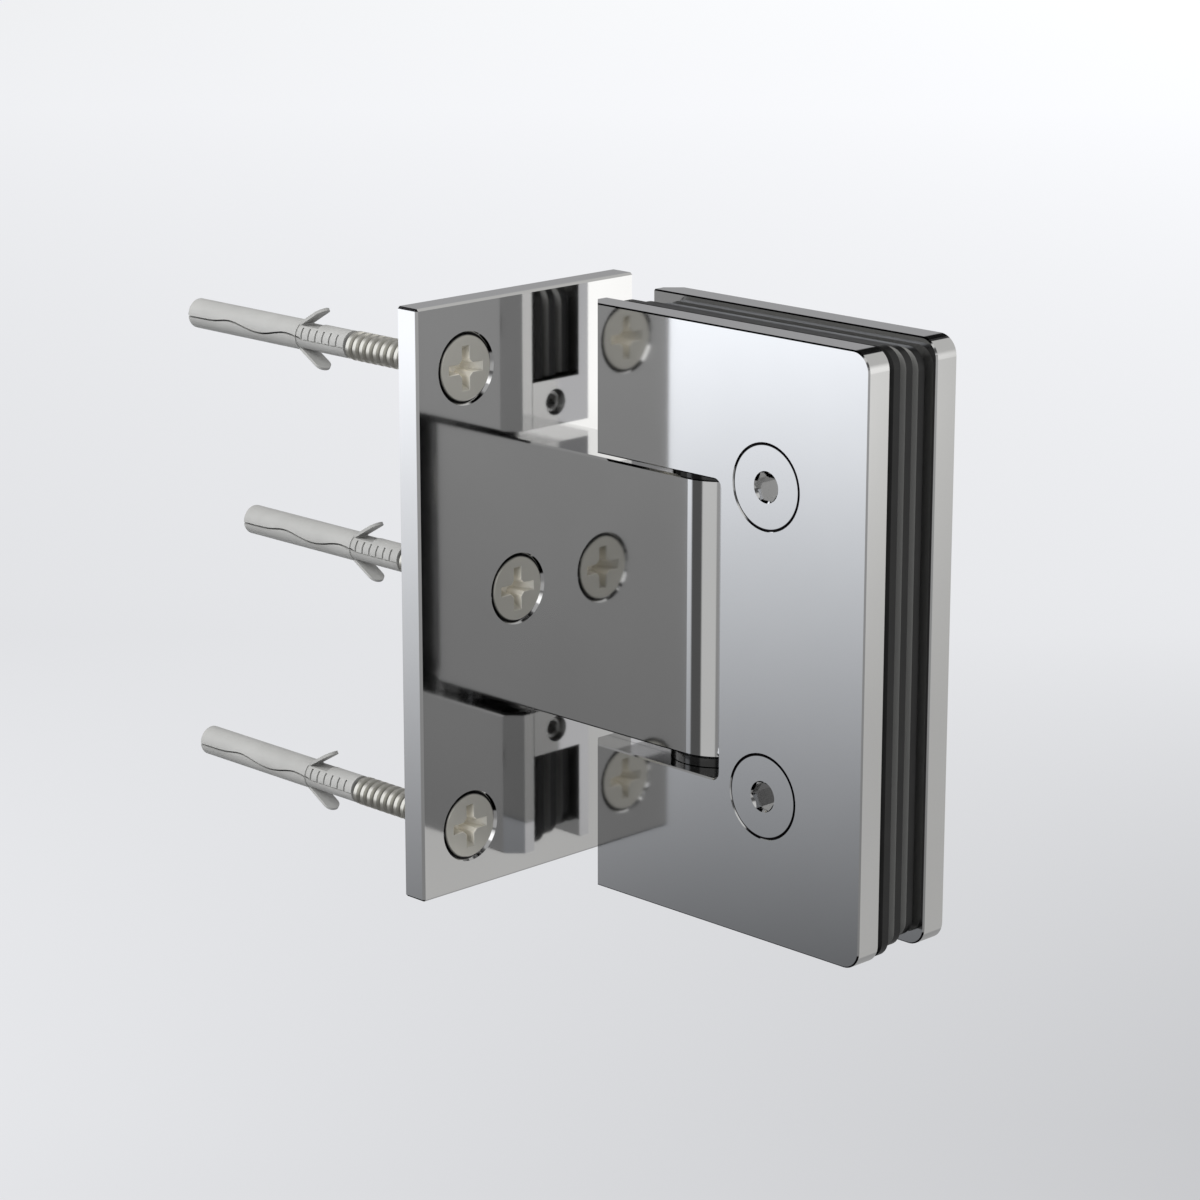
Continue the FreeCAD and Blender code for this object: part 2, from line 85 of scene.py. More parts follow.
@dataclass
class Shader:
    """A material's node tree, with short ways to place and join nodes."""

    tree: bpy.types.NodeTree
    column: int = 0

    def add(self, kind: str, **settings: object) -> bpy.types.Node:
        """Place a node.

        Args:
            kind: Blender's name of the node type.
            **settings: Node properties to set.

        Returns:
            The new node.
        """
        node = self.tree.nodes.new(kind)
        node.location = (self.column, -40 * (len(self.tree.nodes) % 12))
        self.column += 60
        for name, value in settings.items():
            setattr(node, name, value)
        return node

    def join(self, source: bpy.types.NodeSocket, target: bpy.types.NodeSocket) -> None:
        """Link two sockets."""
        self.tree.links.new(source, target)

    def feed(self, target: bpy.types.NodeSocket, value: object) -> None:
        """Link a socket's value into a target, or set a plain number or colour on it.

        Args:
            target: The input socket.
            value: The socket, number or colour to give it.
        """
        if isinstance(value, bpy.types.NodeSocket):
            self.join(value, target)
        else:
            target.default_value = value

    def attribute(self, name: str) -> bpy.types.NodeSocket:
        """Return the value of a mesh attribute."""
        return self.add("ShaderNodeAttribute", attribute_name=name).outputs["Fac"]

    def math(self, operation: str, *values: object) -> bpy.types.NodeSocket:
        """Place a math node.

        Args:
            operation: Blender's name of the operation.
            *values: Sockets or numbers for its inputs.

        Returns:
            The output socket.
        """
        node = self.add("ShaderNodeMath", operation=operation)
        for slot, value in zip(node.inputs, values):
            self.feed(slot, value)
        return node.outputs[0]

    def span(self, value: object, low: float, high: float, to_low: object, to_high: object,
             smooth: bool = False) -> bpy.types.NodeSocket:
        """Map a value from one span to another, kept within it.

        Args:
            value: The socket or number to map.
            low: The start of the source span.
            high: The end of the source span.
            to_low: The result at the start.
            to_high: The result at the end.
            smooth: Whether the step is eased at both ends.

        Returns:
            The output socket.
        """
        node = self.add("ShaderNodeMapRange", interpolation_type="SMOOTHSTEP" if smooth else "LINEAR")
        for slot, item in zip(node.inputs, (value, low, high, to_low, to_high)):
            self.feed(slot, item)
        return node.outputs[0]

    def mix(self, factor: object, first: object, second: object) -> bpy.types.NodeSocket:
        """Mix two colours.

        Args:
            factor: The share of the second colour.
            first: The first colour, as a socket or an RGBA tuple.
            second: The second colour, as a socket or an RGBA tuple.

        Returns:
            The output socket.
        """
        node = self.add("ShaderNodeMix", data_type="RGBA")
        self.feed(node.inputs[0], factor)
        self.feed(node.inputs[6], first)
        self.feed(node.inputs[7], second)
        return node.outputs[2]


@dataclass
class NodeGroups:
    """The surface effects that several finishes share, each built once."""

    made: dict[str, bpy.types.NodeTree] = field(default_factory=dict)

    def group(self, name: str, inputs: Sequence[tuple[str, float]], outputs: Sequence[str],
              build: Callable[[Shader, dict, dict], None]) -> bpy.types.NodeTree:
        """Return a node group, made on its first use.

        Args:
            name: The group's name.
            inputs: Names and default values of its inputs.
            outputs: Names of its outputs.
            build: A function that fills it in from its input and output sockets.

        Returns:
            The node tree of the group.
        """
        if name not in self.made:
            tree = bpy.data.node_groups.new(name, "ShaderNodeTree")
            for label, value in inputs:
                socket = tree.interface.new_socket(label, in_out="INPUT", socket_type="NodeSocketFloat")
                socket.default_value = value
            for label in outputs:
                tree.interface.new_socket(label, in_out="OUTPUT", socket_type="NodeSocketFloat")
            shader = Shader(tree)
            start = shader.add("NodeGroupInput")
            end = shader.add("NodeGroupOutput")
            build(shader, {s.name: s for s in start.outputs}, {s.name: s for s in end.inputs})
            self.made[name] = tree
        return self.made[name]

    def polish(self) -> bpy.types.NodeTree:
        """Return the group for polished and ground metal: buffing haze and faint hairlines.

        Returns:
            The node tree of the group.
        """
        return self.group(
            "polish_marks",
            (("Hairlines", 0.2), ("Haze", 0.3), ("Stretch", 30.0)),
            ("Roughness mask", "Height", "Tint mask"),
            self.build_polish,
        )

    @staticmethod
    def build_polish(shader: Shader, given: dict, result: dict) -> None:
        """Fill the polish group: long noise for hairlines, broad noise for haze.

        Args:
            shader: The group's node tree.
            given: Its input sockets by name.
            result: Its output sockets by name.
        """
        place = shader.add("ShaderNodeTexCoord").outputs["Object"]
        stretch = shader.add("ShaderNodeCombineXYZ")
        stretch.inputs[0].default_value = 1.0
        stretch.inputs[1].default_value = 1.0
        shader.join(given["Stretch"], stretch.inputs[2])
        along = shader.add("ShaderNodeVectorMath", operation="MULTIPLY")
        shader.join(place, along.inputs[0])
        shader.join(stretch.outputs[0], along.inputs[1])
        lines = shader.add("ShaderNodeTexNoise")
        lines.inputs["Scale"].default_value = 160.0
        lines.inputs["Detail"].default_value = 5.0
        shader.join(along.outputs[0], lines.inputs["Vector"])
        haze = shader.add("ShaderNodeTexNoise")
        haze.inputs["Scale"].default_value = 45.0
        haze.inputs["Detail"].default_value = 3.0
        shader.join(place, haze.inputs["Vector"])
        fine = shader.math("MULTIPLY", lines.outputs[0], given["Hairlines"])
        broad = shader.math("MULTIPLY", haze.outputs[0], given["Haze"])
        shader.join(shader.math("ADD", fine, broad), result["Roughness mask"])
        shader.join(fine, result["Height"])
        shader.join(shader.span(haze.outputs[0], 0.35, 0.7, 0.0, 1.0), result["Tint mask"])

    def moulding(self) -> bpy.types.NodeTree:
        """Return the group for moulded plastic and rubber: fine pits and a cloudy tone.

        Returns:
            The node tree of the group.
        """
        return self.group(
            "moulded_skin",
            (("Grain", 0.5), ("Scale", 900.0)),
            ("Height", "Cloud"),
            self.build_moulding,
        )

    @staticmethod
    def build_moulding(shader: Shader, given: dict, result: dict) -> None:
        """Fill the moulding group: small grain for the bump, broad noise for the tone.

        Args:
            shader: The group's node tree.
            given: Its input sockets by name.
            result: Its output sockets by name.
        """
        place = shader.add("ShaderNodeTexCoord").outputs["Object"]
        grain = shader.add("ShaderNodeTexNoise")
        grain.inputs["Detail"].default_value = 4.0
        shader.join(place, grain.inputs["Vector"])
        shader.join(given["Scale"], grain.inputs["Scale"])
        cloud = shader.add("ShaderNodeTexNoise")
        cloud.inputs["Scale"].default_value = 220.0
        shader.join(place, cloud.inputs["Vector"])
        shader.join(shader.math("MULTIPLY", grain.outputs[0], given["Grain"]), result["Height"])
        shader.join(shader.span(cloud.outputs[0], 0.3, 0.7, 0.0, 1.0), result["Cloud"])


GROUPS = NodeGroups()

# The share of light that the chrome plate throws back
CHROME_SHARE = 0.68


@dataclass(frozen=True)
class ScrewAxis:
    """The axis of a countersunk screw, for the painted shade in the ring round its head."""

    centre: tuple[float, float, float]
    across: tuple[float, float, float]

    def distance(self, shader: Shader, place: bpy.types.NodeSocket) -> bpy.types.NodeSocket:
        """Return the distance of a place from the axis.

        Args:
            shader: The material's node tree.
            place: The socket with the place on the object.

        Returns:
            The output socket.
        """
        offset = shader.add("ShaderNodeVectorMath", operation="SUBTRACT")
        shader.join(place, offset.inputs[0])
        offset.inputs[1].default_value = self.centre
        level = shader.add("ShaderNodeVectorMath", operation="MULTIPLY")
        shader.join(offset.outputs[0], level.inputs[0])
        level.inputs[1].default_value = self.across
        length = shader.add("ShaderNodeVectorMath", operation="LENGTH")
        shader.join(level.outputs[0], length.inputs[0])
        return length.outputs["Value"]


@dataclass(frozen=True)
class MetalFinish:
    """A plated or bare metal surface.

    Places farther than rim_radius from every screw axis take the groove colour, a painted shade for
    the countersink ring round a screw head. Where a facet colour is given, the mesh has the
    attributes "groove", "facet" and "thread": it takes the painted shade and the painted
    highlight there, the shade on the head's rim and thread roots and the highlight in the cross recess, and
    its thread and recess have a metallic share of their own.
    """

    name: str
    colour: Colour
    shade: Colour
    roughness: float
    roughness_spread: float
    hairlines: float = 0.2
    haze: float = 0.3
    stretch: float = 1.0
    bump: float = 0.00001
    bump_strength: float = 0.3
    metallic: float = 1.0
    thread_metallic: float = 0.7
    recess_highlight_metallic: float = 0.1
    axes: tuple[ScrewAxis, ...] = ()
    rim_radius: float = 0.0
    rim_edge: float = 0.00003
    # Painted shade: the near-black colour of the countersink ring round a screw head and of the thread roots
    groove: Colour = (0.01, 0.01, 0.01)
    # Painted highlight: the near-white colour of the cross recess, in place of the glints that light gives it
    facet: Colour | None = None

    def material(self) -> bpy.types.Material:
        """Return the material, made on its first use.

        Returns:
            The material with the finish's name.
        """
        if self.name in bpy.data.materials:
            return bpy.data.materials[self.name]
        material = bpy.data.materials.new(self.name)
        material.use_nodes = True
        shader = Shader(material.node_tree)
        surface = material.node_tree.nodes["Principled BSDF"]
        surface.inputs["Metallic"].default_value = self.metallic
        if self.facet:
            metallic = shader.span(shader.attribute("thread"), 0.0, 1.0, self.metallic, self.thread_metallic)
            # Painted highlight: the recess is less metallic, so that its near-white colour shows
            metallic = shader.span(shader.attribute("facet"), 0.0, 1.0, metallic, self.recess_highlight_metallic)
            shader.join(metallic, surface.inputs["Metallic"])
        marks = shader.add("ShaderNodeGroup", node_tree=GROUPS.polish())
        marks.inputs["Hairlines"].default_value = self.hairlines
        marks.inputs["Haze"].default_value = self.haze
        marks.inputs["Stretch"].default_value = self.stretch
        tone = shader.mix(marks.outputs["Tint mask"], (*self.colour, 1), (*self.shade, 1))
        # The base colour carries the painted shade round screw heads and the painted highlight in recesses
        shader.join(self.with_painted_light(shader, tone), surface.inputs["Base Color"])
        rough = shader.span(marks.outputs["Roughness mask"], 0.0, 0.5, self.roughness,
                            self.roughness + self.roughness_spread)
        shader.join(rough, surface.inputs["Roughness"])
        bump = shader.add("ShaderNodeBump")
        bump.inputs["Strength"].default_value = self.bump_strength
        bump.inputs["Distance"].default_value = self.bump
        shader.join(marks.outputs["Height"], bump.inputs["Height"])
        shader.join(bump.outputs[0], surface.inputs["Normal"])
        return material

    def with_painted_light(self, shader: Shader, tone: bpy.types.NodeSocket) -> bpy.types.NodeSocket:
        """Add painted shade round the screw heads and in the thread roots, and a painted highlight in the
        recesses.

        Args:
            shader: The material's node tree.
            tone: The metal's own colour.

        Returns:
            The colour with the painted shade and the painted highlight in it.
        """
        if self.axes:
            # Painted shade: beyond rim_radius from every screw axis the colour turns near-black, for the ring
            # round each head
            place = shader.add("ShaderNodeTexCoord").outputs["Object"]
            near = self.axes[0].distance(shader, place)
            for axis in self.axes[1:]:
                near = shader.math("MINIMUM", near, axis.distance(shader, place))
            inner, outer = self.rim_radius - self.rim_edge, self.rim_radius + self.rim_edge
            tone = shader.mix(shader.span(near, inner, outer, 0.0, 1.0), tone, (*self.groove, 1))
        if self.facet:
            # Painted highlight: the cross recess turns near-white
            tone = shader.mix(shader.attribute("facet"), tone, (*self.facet, 1))
            # Painted shade: the head's rim and the thread roots turn near-black
            tone = shader.mix(shader.attribute("groove"), tone, (*self.groove, 1))
        return tone


@dataclass(frozen=True)
class MouldedFinish:
    """A moulded plastic or rubber surface.

    Where a bevel_highlight colour is given, it is a painted highlight: faces that slant to the near side
    take it, those that slant to the far side take a share of it, and those that slant at the upper and lower
    ends take all of it.
    """

    name: str
    colour: Colour
    shade: Colour
    roughness: float
    grain: float = 0.5
    grain_scale: float = 900.0
    roughness_range: tuple[float, float] = (0.85, 1.3)
    bump: float = 0.00003
    bump_strength: float = 0.4
    coat: float = 0.0
    coat_roughness: float = 0.1
    specular: float = 0.5
    # Painted highlight on bevelled edges, strongest on the faces turned to the near side
    bevel_highlight: Colour | None = None
    far_bevel_highlight_share: float = 0.35
    slant_range: tuple[float, float] = (0.3, 0.6)

    def material(self) -> bpy.types.Material:
        """Return the material, made on its first use.

        Returns:
            The material with the finish's name.
        """
        if self.name in bpy.data.materials:
            return bpy.data.materials[self.name]
        material = bpy.data.materials.new(self.name)
        material.use_nodes = True
        shader = Shader(material.node_tree)
        surface = material.node_tree.nodes["Principled BSDF"]
        surface.inputs["Coat Weight"].default_value = self.coat
        surface.inputs["Coat Roughness"].default_value = self.coat_roughness
        surface.inputs["Specular IOR Level"].default_value = self.specular
        skin = shader.add("ShaderNodeGroup", node_tree=GROUPS.moulding())
        skin.inputs["Grain"].default_value = self.grain
        skin.inputs["Scale"].default_value = self.grain_scale
        tone = shader.mix(skin.outputs["Cloud"], (*self.colour, 1), (*self.shade, 1))
        if self.bevel_highlight:
            # Painted highlight: bevelled faces turned to the near side, and to the ends, turn lighter
            tone = shader.mix(self.slant(shader), tone, (*self.bevel_highlight, 1))
        shader.join(tone, surface.inputs["Base Color"])
        low, high = self.roughness_range
        rough = shader.span(skin.outputs["Height"], 0.0, 1.0, self.roughness * low, self.roughness * high)
        shader.join(rough, surface.inputs["Roughness"])
        bump = shader.add("ShaderNodeBump")
        bump.inputs["Strength"].default_value = self.bump_strength
        bump.inputs["Distance"].default_value = self.bump
        shader.join(skin.outputs["Height"], bump.inputs["Height"])
        shader.join(bump.outputs[0], surface.inputs["Normal"])
        return material

    def slant(self, shader: Shader) -> bpy.types.NodeSocket:
        """Return the share of the painted highlight on bevelled edges, from the way that a face turns.

        Args:
            shader: The material's node tree.

        Returns:
            The share, from 0 to 1.
        """
        parts = shader.add("ShaderNodeSeparateXYZ")
        shader.join(shader.add("ShaderNodeTexCoord").outputs["Normal"], parts.inputs[0])
        across, up = parts.outputs[1], parts.outputs[2]
        start, end = self.slant_range
        near = shader.span(across, -end, -start, 1.0, 0.0)
        far = shader.span(across, start, end, 0.0, self.far_bevel_highlight_share)
        sideways = shader.span(shader.math("ABSOLUTE", across), start, end, 0.0, 1.0)
        endways = shader.span(shader.math("ABSOLUTE", up), start, end, 0.0, 1.0)
        both = shader.math("MULTIPLY", sideways, endways)
        return shader.math("MAXIMUM", shader.math("MAXIMUM", near, far), both)


CHROME = MetalFinish("polished_chrome_plate", (CHROME_SHARE + 0.01,) * 3, (CHROME_SHARE - 0.01,) * 3,
                     0.055, 0.035)
# Wall screw steel: its recess colour is a painted highlight, and its rim and thread roots take painted shade
SCREW_STEEL = MetalFinish("satin_screw_steel", from_screen(207, 205, 197), from_screen(199, 197, 189),
                          0.2, 0.15, haze=0.5, bump=0.00002, metallic=0.5, facet=from_screen(255, 251, 240))
PIN_STEEL = MetalFinish("ground_pin_steel", (0.66, 0.66, 0.66), (0.58, 0.58, 0.58), 0.16, 0.14,
                        hairlines=0.5, stretch=25.0, bump=0.00002)
DARK_STEEL = MetalFinish("dark_set_screw_steel", (0.62, 0.62, 0.61), (0.54, 0.54, 0.53), 0.2, 0.15,
                         metallic=0.7)
SPRING_STEEL = MetalFinish("spring_steel_wire", (0.4, 0.4, 0.41), (0.3, 0.29, 0.28), 0.28, 0.2,
                           hairlines=0.5, stretch=0.2)
PLUG_NYLON = MouldedFinish("light_grey_nylon", from_screen(174, 174, 172), from_screen(167, 167, 165), 0.5)
BUSH_NYLON = MouldedFinish("natural_nylon", from_screen(224, 220, 206), from_screen(214, 209, 194), 0.35)
# Black rubber with a painted highlight on its bevelled edges
GASKET_RUBBER = MouldedFinish("satin_black_rubber", from_screen(30, 30, 30), from_screen(24, 24, 24), 0.35,
                              grain=0.6, grain_scale=600.0, specular=0.25, bevel_highlight=from_screen(120, 120, 118))
WASHER_PLASTIC = MouldedFinish("gloss_black_plastic", (0.006, 0.006, 0.006), (0.004, 0.004, 0.004), 0.12,
                               grain=0.2, bump=0.00001, coat=0.4)


def dress(node: str, finish: MetalFinish | MouldedFinish) -> None:
    """Give a CAD node its finish.

    Args:
        node: The node's name.
        finish: The finish to put in its material slots.
    """
    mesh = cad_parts[node].data
    material = finish.material()
    if not mesh.materials:
        mesh.materials.append(material)
    for slot in range(len(mesh.materials)):
        mesh.materials[slot] = material
    log.info("%s: %s", node, finish.name)


@dataclass
class ScrewSizes:
    """Sizes of a wall screw, in millimetres."""

    head: float = 9.9
    head_rim: float = 0.5
    head_cone: float = 3.1
    rim_round: float = 0.2
    core: float = 3.0
    crest: float = 4.5
    pitch: float = 1.55
    crest_share: float = 0.44
    flank_share: float = 0.18
    flank_middle: float = 0.55
    run_out: float = 0.5
    length: float = 50.0
    point: float = 4.0
    tip_radius: float = 0.02
    root_band: float = 0.2

    @property
    def head_height(self) -> float:
        """The distance from the head's face to the thread."""
        return self.head_rim + self.head_cone


@dataclass
class RecessSizes:
    """Sizes of a cross recess, in millimetres."""

    span: float = 6.6
    width: float = 1.4
    corner: float = 1.3
    mouth_round: float = 0.08
    foot_span: float = 3.4
    foot_width: float = 1.1
    foot_corner: float = 0.95
    depth: float = 3.2
    tip_depth: float = 3.6


@dataclass
class WallScrews:
    """The three wall screws, with their cut threads and cross recesses."""

    screw: ScrewSizes = field(default_factory=ScrewSizes)
    recess: RecessSizes = field(default_factory=RecessSizes)
    piece_name: str = "thread"
    columns: int = 48
    touch: float = 1e-3
    merge_gap: float = 1e-4
    sharp_degrees: float = 28.0

    def build(self) -> None:
        """Make each screw in the place of its plain solid."""
        for place in WallPlace:
            node = "wall_screw_" + place.value
            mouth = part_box("wall_plug_" + place.value)[1].x
            low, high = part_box(node)
            axis = Vector((high.x, (low.y + high.y) / 2, (low.z + high.z) / 2))
            piece = self.make_piece(axis, (axis.x - mouth) / MILLIMETRE)
            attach(piece, "wall_side")
            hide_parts(node)
            log.info("%s: %d faces", piece.name, len(piece.data.polygons))

    def make_piece(self, head_face: Vector, grip: float) -> bpy.types.Object:
        """Make one screw. All three have one name, to which Blender adds a number after the first.

        Args:
            head_face: The middle of the head's face, in metres.
            grip: The distance from the head's face to the plug's mouth, in millimetres.

        Returns:
            The new object.
        """
        mesh = bmesh.new()
        self.add_turned(mesh, self.head_rings())
        self.add_turned(mesh, self.point_rings(grip))
        self.add_thread(mesh, self.screw.head_height, grip)
        self.add_head_face(mesh)
        bmesh.ops.remove_doubles(mesh, verts=mesh.verts, dist=self.merge_gap)
        bmesh.ops.dissolve_degenerate(mesh, edges=mesh.edges, dist=self.merge_gap / 10)
        bmesh.ops.recalc_face_normals(mesh, faces=mesh.faces)
        layers = {mark: mesh.verts.layers.float.new(mark) for mark in ("groove", "facet", "thread")}
        for vertex in mesh.verts:
            along, across, up = vertex.co
            for mark, value in self.marks(along, math.hypot(across, up)).items():
                vertex[layers[mark]] = value
            vertex.co = head_face + Vector((-along, across, up)) * MILLIMETRE
        data = bpy.data.meshes.new(self.piece_name)
        mesh.to_mesh(data)
        mesh.free()
        data.materials.append(SCREW_STEEL.material())
        for polygon in data.polygons:
            polygon.use_smooth = True
        data.set_sharp_from_angle(angle=math.radians(self.sharp_degrees))
        piece = bpy.data.objects.new(self.piece_name, data)
        bpy.context.scene.collection.objects.link(piece)
        return piece

    def marks(self, along: float, radius: float) -> dict[str, float]:
        """Return a point's marks for the material.

        Args:
            along: Its distance from the head's face.
            radius: Its distance from the axis.

        Returns:
            The share of painted shade, painted highlight and thread.
        """
        below_face = along > self.touch
        on_thread = along > self.screw.head_height
        at_rim = radius > self.screw.head / 2 - self.touch
        at_root = on_thread and radius < self.screw.core / 2 + self.screw.root_band
        in_recess = not on_thread and radius < self.recess.span / 2 + self.touch
        # The rim and root marks place painted shade, the recess mark places a painted highlight
        return {
            "groove": float(below_face and (at_rim or at_root)),
            "facet": float(below_face and in_recess),
            "thread": float(on_thread),
        }

    def head_rings(self) -> list[tuple[float, float]]:
        """Return the head's outline.

        Returns:
            Distances from its face, with the radius there.
        """
        radius = self.screw.head / 2
        return [
            (0.0, radius - self.screw.rim_round),
            (self.screw.rim_round, radius),
            (self.screw.head_rim, radius),
            (self.screw.head_height, self.screw.core / 2),
        ]

    def point_rings(self, grip: float) -> list[tuple[float, float]]:
        """Return the outline from the plug's mouth to the point.

        Args:
            grip: The distance from the head's face to the plug's mouth.

        Returns:
            Distances from the head's face, with the radius there.
        """
        return [
            (grip, self.screw.core / 2),
            (self.screw.length - self.screw.point, self.screw.core / 2),
            (self.screw.length, self.screw.tip_radius),
            (self.screw.length, 0.0),
        ]

    def point(self, mesh: bmesh.types.BMesh, column: int, along: float, radius: float) -> bmesh.types.BMVert:
        """Add one point in a column of points round the axis."""
        turn = 2 * math.pi * column / self.columns
        return mesh.verts.new((along, radius * math.cos(turn), radius * math.sin(turn)))

    def ring(self, mesh: bmesh.types.BMesh, along: float, radius: float) -> list[bmesh.types.BMVert]:
        """Add a ring of points round the axis."""
        return [self.point(mesh, column, along, radius) for column in range(self.columns)]

    def add_turned(self, mesh: bmesh.types.BMesh, outline: Sequence[tuple[float, float]]) -> None:
        """Add a surface turned from an outline of distances and radii."""
        self.skin(mesh, [self.ring(mesh, along, radius) for along, radius in outline])

    def skin(self, mesh: bmesh.types.BMesh, rings: Sequence[Sequence[bmesh.types.BMVert]]) -> None:
        """Join rings of points with faces.

        Args:
            mesh: The mesh to add to.
            rings: Rings with as many points each, in order.
        """
        for near, far in zip(rings, rings[1:]):
            for column in range(len(near)):
                after = (column + 1) % len(near)
                mesh.faces.new((near[column], near[after], far[after], far[column]))

    def add_thread(self, mesh: bmesh.types.BMesh, start: float, end: float) -> None:
        """Add the thread: points follow its helix, so that its crest is a clean line.

        Args:
            mesh: The mesh to add to.
            start: Where the thread begins, from the head's face.
            end: Where it ends, at the plug's mouth.
        """
        turns = math.ceil((end - start) / self.screw.pitch) + 1
        stations = self.thread_stations()
        columns = []
        for column in range(self.columns):
            lead = column / self.columns * self.screw.pitch
            points = []
            for turn in range(-1, turns):
                for share, height in stations:
                    raw = start + lead + (turn + share) * self.screw.pitch
                    points.append(self.thread_point(mesh, column, raw, height, start, end))
            columns.append(points)
        size = len(stations)
        for column, points in enumerate(columns):
            wraps = column == self.columns - 1
            following = columns[0] if wraps else columns[column + 1]
            shift = size if wraps else 0
            for row in range(len(points) - 1):
                beside = row + shift
                if beside + 1 < len(following):
                    mesh.faces.new((points[row], following[beside], following[beside + 1], points[row + 1]))

    def thread_stations(self) -> list[tuple[float, float]]:
        """Return the thread's section over one turn.

        Returns:
            Shares of the pitch, with the share of the thread's height there.
        """
        crest = self.screw.crest_share
        flank = self.screw.flank_share
        root = 1.0 - crest - 2 * flank
        middle = self.screw.flank_middle
        return [
            (0.0, 0.0),
            (root, 0.0),
            (root + flank / 2, middle),
            (root + flank, 1.0),
            (root + flank + crest, 1.0),
            (root + flank + crest + flank / 2, middle),
        ]

    def thread_point(self, mesh: bmesh.types.BMesh, column: int, raw: float, height: float,
                     start: float, end: float) -> bmesh.types.BMVert:
        """Add one point of the thread, which fades out at both ends.

        Args:
            mesh: The mesh to add to.
            column: Its column round the axis.
            raw: Its distance from the head's face, before it is kept within the ends.
            height: Its share of the thread's height.
            start: Where the thread begins.
            end: Where it ends.

        Returns:
            The new point.
        """
        along = min(max(raw, start), end)
        room = min(along - start, end - along)
        fade = min(1.0, room / self.screw.run_out)
        core = self.screw.core / 2
        return self.point(mesh, column, along, core + (self.screw.crest / 2 - core) * height * fade)

    def cross_loop(self, depth: float, span: float, width: float, corner: float) -> list[Vector]:
        """Return the outline of the recess at one depth.

        Args:
            depth: How far it lies under the head's face.
            span: The cross's whole length.
            width: The width of a wing.
            corner: Where the chamfer between two wings begins, from the middle.

        Returns:
            Sixteen points round the axis.
        """
        half, side = span / 2, width / 2
        quarter = [(half, side), (corner, side), (side, corner), (side, half)]
        points = []
        for turn in range(4):
            cosine, sine = round(math.cos(turn * math.pi / 2)), round(math.sin(turn * math.pi / 2))
            for across, up in quarter:
                points.append(Vector((depth, across * cosine - up * sine, across * sine + up * cosine)))
        return points

    def add_head_face(self, mesh: bmesh.types.BMesh) -> None:
        """Add the head's flat face with the recess let into it.

        Args:
            mesh: The mesh to add to.
        """
        size = self.recess
        edge = size.mouth_round
        loops = [
            self.cross_loop(0.0, size.span + 2 * edge, size.width + 2 * edge, size.corner + edge),
            self.cross_loop(edge, size.span, size.width, size.corner),
            self.cross_loop(size.depth, size.foot_span, size.foot_width, size.foot_corner),
        ]
        rings = [[mesh.verts.new(point) for point in loop] for loop in loops]
        self.skin(mesh, rings)
        tip = mesh.verts.new((size.tip_depth, 0.0, 0.0))
        foot = rings[-1]
        for index in range(len(foot)):
            mesh.faces.new((foot[index], foot[(index + 1) % len(foot)], tip))
        rim = self.ring(mesh, 0.0, self.screw.head / 2 - self.screw.rim_round)
        edges = []
        for ring in (rim, rings[0]):
            for index in range(len(ring)):
                pair = (ring[index], ring[(index + 1) % len(ring)])
                edges.append(mesh.edges.get(pair) or mesh.edges.new(pair))
        bmesh.ops.triangle_fill(mesh, use_beauty=True, use_dissolve=False, edges=edges)


@dataclass
class WallSide:
    """What is fixed to the wall: plate, arm, their screws and the wall plugs."""

    def build(self) -> None:
        """Dress the pieces that stay still."""
        dress("wall_plate", CHROME)
        dress("hinge_arm", CHROME)
        for side in Side:
            dress("arm_screw_" + side.value, SCREW_STEEL)
        for place in WallPlace:
            dress("wall_plug_" + place.value, PLUG_NYLON)


@dataclass
class Pivot:
    """The pin, its bushes, washers and set screws, and the sprung plungers behind it."""

    def build(self) -> None:
        """Dress the pieces of the pivot."""
        dress("pivot_pin", PIN_STEEL)
        for side in Side:
            dress("pin_bush_" + side.value, BUSH_NYLON)
            dress("thrust_washer_" + side.value, WASHER_PLASTIC)
            dress("pin_set_screw_" + side.value, DARK_STEEL)
            dress("detent_plunger_" + side.value, PIN_STEEL)
            dress("detent_spring_" + side.value, SPRING_STEEL)


@dataclass
class GlassClamp:
    """The two leaves, their screws and the gasket sheets between them."""

    # Width in millimetres of the painted shade band inside each clamp screw's rim
    rim_shade: float = 0.14

    def build(self) -> None:
        """Dress the pieces of the clamp."""
        dress("clamp_body", CHROME)
        dress("clamp_cover", CHROME)
        axes = []
        for side in Side:
            low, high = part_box("clamp_screw_" + side.value)
            axes.append(ScrewAxis(((low.x + high.x) / 2, 0.0, (low.z + high.z) / 2), (1.0, 0.0, 1.0)))
        head_radius = (high.x - low.x) / 2
        rim = head_radius - self.rim_shade * MILLIMETRE
        # Chrome for the clamp screws, with painted shade round each head's rim
        finish = replace(CHROME, name="polished_chrome_screw", axes=tuple(axes), rim_radius=rim)
        for side in Side:
            dress("clamp_screw_" + side.value, finish)
        # The near sheet takes the rubber without the painted bevel highlight
        dress("gasket_near", replace(GASKET_RUBBER, name="satin_black_rubber_covered", bevel_highlight=None))
        for sheet in ("middle", "far"):
            dress("gasket_" + sheet, GASKET_RUBBER)


@dataclass(frozen=True)
class StudioCard:
    """A soft panel that polished metal reflects, seen as a stretch of the horizon.

    The levels are display levels from 0 to 255, at the upper and the lower height, as they look in the
    chrome plate after one or two reflections. Heights are the sine of the elevation.
    """

    azimuth: float
    half_width: float
    softness: float
    upper_height: float
    lower_height: float
    upper_level: float
    lower_level: float
    tint: Colour = (1.0, 1.0, 1.0)
    bounces: int = 1
    top: float = 2.0
    foot: float = -2.0


